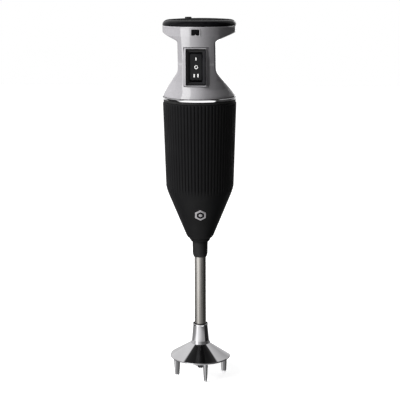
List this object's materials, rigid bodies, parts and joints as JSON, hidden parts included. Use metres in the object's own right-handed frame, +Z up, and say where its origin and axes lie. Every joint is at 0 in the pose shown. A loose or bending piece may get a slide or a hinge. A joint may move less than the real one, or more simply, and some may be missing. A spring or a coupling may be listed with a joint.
{
  "type": "immersion blender",
  "caption": "Slim corded hand blender: waisted head with a rocker switch, ribbed motor grip, cone, steel stem and a legged blade guard.",
  "frame": {"origin": "on the motor axis at the height of the leg tips, where the blender stands", "axes": "+Z up along the motor axis, -Y is the switch side, +X is to the right when the switch is seen from the front"},
  "size_m": [0.0746, 0.0746, 0.3735],
  "materials": {
    "silver_housing": "metallic silver-grey gloss paint on ABS",
    "black_gloss": "high gloss black",
    "black_satin": "fine satin texture",
    "black_rubber": "matte",
    "switch_black": "semi-gloss black",
    "chrome": "polished",
    "brushed_steel": "fine brushed along the length",
    "badge_silver": "satin",
    "screw_steel": "zinc, dark passivated",
    "lamination": "stacked sheet steel, as stamped",
    "copper": "enamelled copper wire",
    "brass": "as drawn",
    "bronze": "sintered, oiled",
    "carbon": "pressed carbon",
    "nylon": "natural nylon",
    "capacitor_blue": "dipped epoxy",
    "dark_nut": "blackened steel"
  },
  "bodies": {
    "housing": {"housing_front": "silver_housing", "housing_rear": "silver_housing", "housing_screw_upper_left": "screw_steel", "housing_screw_upper_right": "screw_steel", "housing_screw_lower_left": "screw_steel", "housing_screw_lower_right": "screw_steel", "top_cap": "black_gloss", "cap_latch": "black_gloss", "cord_gland": "black_rubber", "switch_frame": "silver_housing", "switch_body": "switch_black", "switch_tab_1": "brass", "switch_tab_2": "brass", "switch_tab_3": "brass", "speed_diode": "switch_black", "noise_capacitor": "capacitor_blue", "trim_ring": "chrome", "gasket": "black_rubber", "motor_housing": "black_satin", "badge": "badge_silver", "stator_core": "lamination", "field_coil_left": "copper", "field_coil_right": "copper", "motor_bolt_1": "screw_steel", "motor_bolt_2": "screw_steel", "motor_bolt_3": "screw_steel", "motor_bolt_4": "screw_steel", "upper_bracket": "lamination", "brush_plate": "nylon", "lower_bracket": "lamination", "upper_bearing": "brushed_steel", "lower_bearing": "brushed_steel", "brush_holder_left": "brass", "brush_holder_right": "brass", "brush_spring_left": "brushed_steel", "brush_spring_right": "brushed_steel", "stem_collar": "black_rubber", "stem_tube": "brushed_steel", "tube_retainer": "brass", "upper_bush": "bronze", "lower_bush": "bronze", "shaft_seal": "black_rubber", "blade_guard": "chrome"},
    "switch_rocker": {"rocker": "switch_black"},
    "rotor": {"motor_shaft": "brushed_steel", "armature_core": "lamination", "armature_winding_upper": "copper", "armature_winding_lower": "copper", "commutator": "copper", "cooling_fan": "nylon", "shaft_coupling": "nylon", "drive_shaft": "brushed_steel", "blade": "brushed_steel", "blade_nut": "dark_nut"},
    "carbon_brush_left": {"brush_left": "carbon"},
    "carbon_brush_right": {"brush_right": "carbon"}
  },
  "joints": [
    {"name": "rocker_tilt", "type": "hinge", "parent": "housing", "child": "switch_rocker", "pos_m": [0, -0.0275, 0.3268], "axis": [1, 0, 0], "range_deg": [-11, 11]},
    {"name": "rotor_spin", "type": "hinge", "parent": "housing", "child": "rotor", "pos_m": [0, 0, 0.2], "axis": [0, 0, 1], "continuous": true},
    {"name": "brush_left_slide", "type": "slide", "parent": "housing", "child": "carbon_brush_left", "axis": [-1, 0, 0], "range_m": [0, 0.003], "stiffness_N_per_m": 120, "deforming": ["brush_spring_left"]},
    {"name": "brush_right_slide", "type": "slide", "parent": "housing", "child": "carbon_brush_right", "axis": [1, 0, 0], "range_m": [0, 0.003], "stiffness_N_per_m": 120, "deforming": ["brush_spring_right"]}
  ]
}
